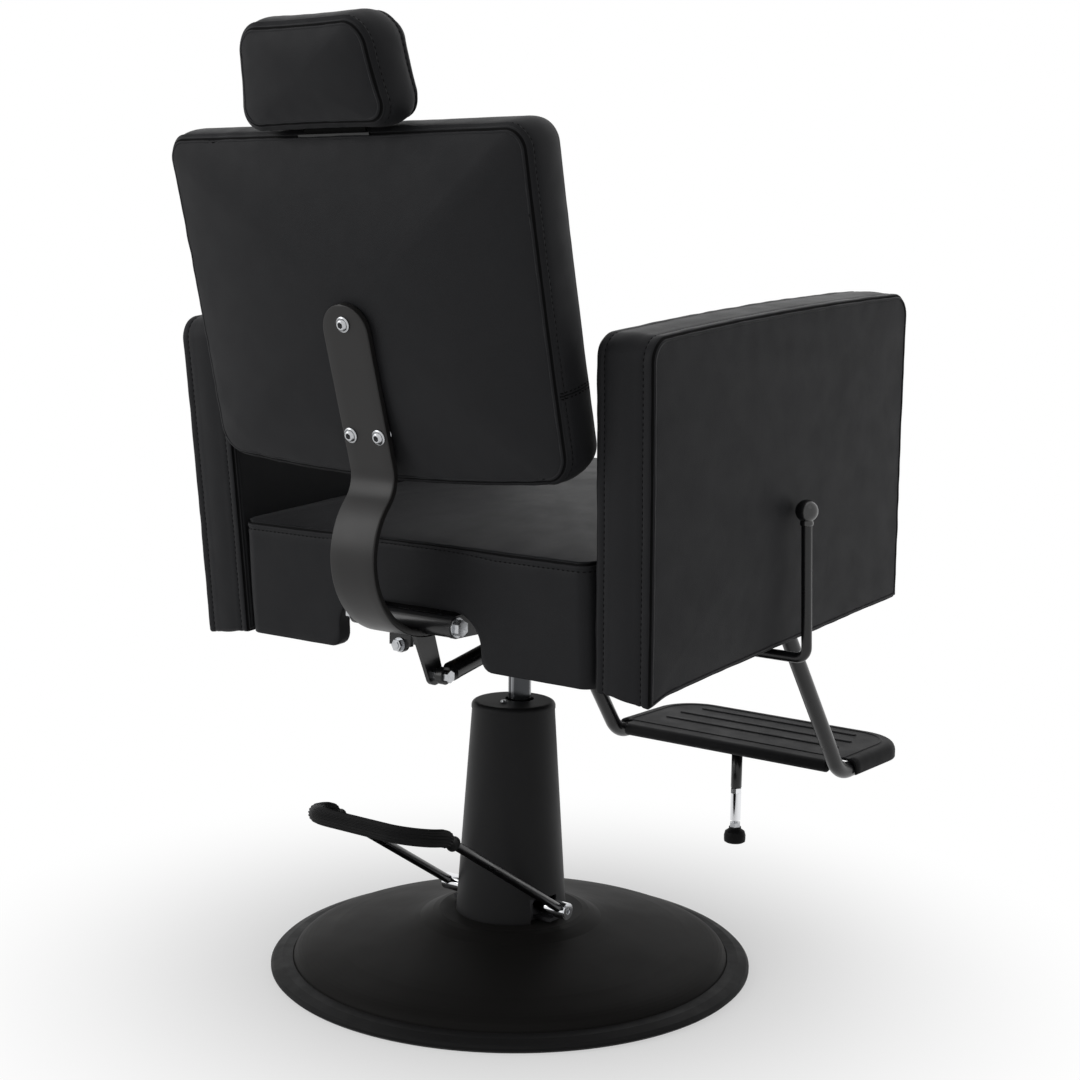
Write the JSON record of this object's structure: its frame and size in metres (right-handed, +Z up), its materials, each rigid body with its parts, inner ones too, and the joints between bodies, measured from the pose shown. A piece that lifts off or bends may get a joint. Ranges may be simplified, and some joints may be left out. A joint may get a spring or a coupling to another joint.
{
  "type": "hydraulic barber chair",
  "caption": "Reclining swivel chair on a round hydraulic base with foot pump, padded seat, arms, back and headrest, and a tube footrest.",
  "frame": {"origin": "centre of the round base on the floor plane", "axes": "+Z up, the chair's front faces -Y, the sitter's left is +X"},
  "size_m": [0.7163, 1.0857, 1.1299],
  "materials": {
    "vinyl": "fine-grained black upholstery vinyl over foam, low sheen",
    "satin_black": "satin black powder coat",
    "gloss_black": "gloss black enamel",
    "charcoal": "satin charcoal coat with a warm sheen",
    "dark_steel": "dark oiled steel",
    "tread": "matte black moulded tread",
    "knob": "gloss black ball",
    "rubber": "matte black rubber",
    "zinc": "bright zinc plate",
    "chrome": "polished chrome plate",
    "plywood": "bare plywood, hidden inside the upholstery",
    "bronze": "sintered bronze bush"
  },
  "bodies": {
    "base": {"base_plate": "dark_steel", "trim_ring": "rubber", "base_dome": "satin_black", "pump_block": "dark_steel", "pump_bolts": "zinc", "reservoir_tube": "dark_steel", "pump_barrel": "zinc", "gland_nut": "dark_steel", "wiper_seal": "rubber", "pump_cover": "satin_black", "cover_cap": "satin_black", "cap_screw": "zinc", "plunger_spring": "zinc"},
    "pedal": {"pedal_axle": "chrome", "pump_cam": "dark_steel", "pedal_bar": "gloss_black", "pedal_grip": "rubber", "grub_screws": "zinc"},
    "pump_plunger": {"plunger": "zinc"},
    "lift_ram": {"ram": "chrome", "thrust_bearing": "zinc"},
    "seat": {"swivel_plate": "gloss_black", "hub_bush": "bronze", "seat_rails": "gloss_black", "recline_ears": "gloss_black", "seat_board": "plywood", "seat_cushion": "vinyl", "skirt_front": "vinyl", "skirt_left": "vinyl", "skirt_right": "vinyl", "skirt_rear": "vinyl", "arm_left": "vinyl", "arm_right": "vinyl", "arm_boards": "plywood", "seat_bolts": "zinc", "footrest_frame": "gloss_black", "tube_clamps": "gloss_black", "footrest_pad": "tread", "foot_barrel": "chrome", "lever_hangers": "gloss_black", "strut_bracket": "gloss_black"},
    "back": {"carrier_bar": "charcoal", "recline_tube": "gloss_black", "lever_arm": "gloss_black", "stop_screw": "zinc", "pivot_bolts": "zinc", "back_bolts": "zinc", "back_board": "plywood", "back_panel": "vinyl", "back_cushion": "vinyl", "headrest_guide": "gloss_black"},
    "headrest": {"headrest_bracket": "gloss_black", "headrest_panel": "vinyl", "headrest_cushion": "vinyl"},
    "strut_piston": {"strut_rod": "chrome"},
    "strut_body": {"strut_cylinder": "gloss_black"},
    "recline_handle": {"recline_lever": "gloss_black", "lever_knob": "knob"},
    "foot_screw": {"foot_stud": "zinc", "rubber_foot": "rubber"}
  },
  "joints": [
    {"name": "lift", "type": "slide", "parent": "base", "child": "lift_ram", "axis": [0, 0, 1], "range_m": [-0.024, 0.14]},
    {"name": "swivel", "type": "hinge", "parent": "lift_ram", "child": "seat", "pos_m": [0, -0.012, 0.4], "axis": [0, 0, 1], "continuous": true},
    {"name": "recline", "type": "hinge", "parent": "seat", "child": "back", "pos_m": [0, 0.2049, 0.465], "axis": [-1, 0, 0], "range_deg": [0, 30]},
    {"name": "headrest_slide", "type": "slide", "parent": "back", "child": "headrest", "axis": [0, 0.2334, 0.9724], "range_m": [0, 0.1]},
    {"name": "strut_swing", "type": "hinge", "parent": "seat", "child": "strut_piston", "pos_m": [-0.044, -0.07013, 0.45356], "axis": [1, 0, 0], "range_deg": [0, 2.5]},
    {"name": "strut_slide", "type": "slide", "parent": "strut_piston", "child": "strut_body", "axis": [0, -0.9816, 0.1908], "range_m": [0, 0.034]},
    {"name": "recline_lever_turn", "type": "hinge", "parent": "seat", "child": "recline_handle", "pos_m": [-0.2, -0.093, 0.4205], "axis": [1, 0, 0], "range_deg": [-20, 20], "stiffness_Nm_per_rad": 3},
    {"name": "pedal_press", "type": "hinge", "parent": "base", "child": "pedal", "pos_m": [0, 0.011, 0.086], "axis": [-1, 0, 0], "range_deg": [0, 20], "stiffness_Nm_per_rad": 20, "springref_deg": -20.05},
    {"name": "plunger_stroke", "type": "slide", "parent": "base", "child": "pump_plunger", "axis": [0, 0, -1], "range_m": [0, 0.0096], "deforming": ["plunger_spring"]},
    {"name": "foot_adjust", "type": "slide", "parent": "seat", "child": "foot_screw", "axis": [0, 0, -1], "range_m": [-0.003, 0.02]}
  ],
  "couplings": [
    {"joint": "strut_swing", "follows": "recline", "ratio": 0.067945},
    {"joint": "strut_slide", "follows": "recline", "m_per_rad": 0.060603},
    {"joint": "plunger_stroke", "follows": "pedal_press", "m_per_rad": 0.026862}
  ]
}
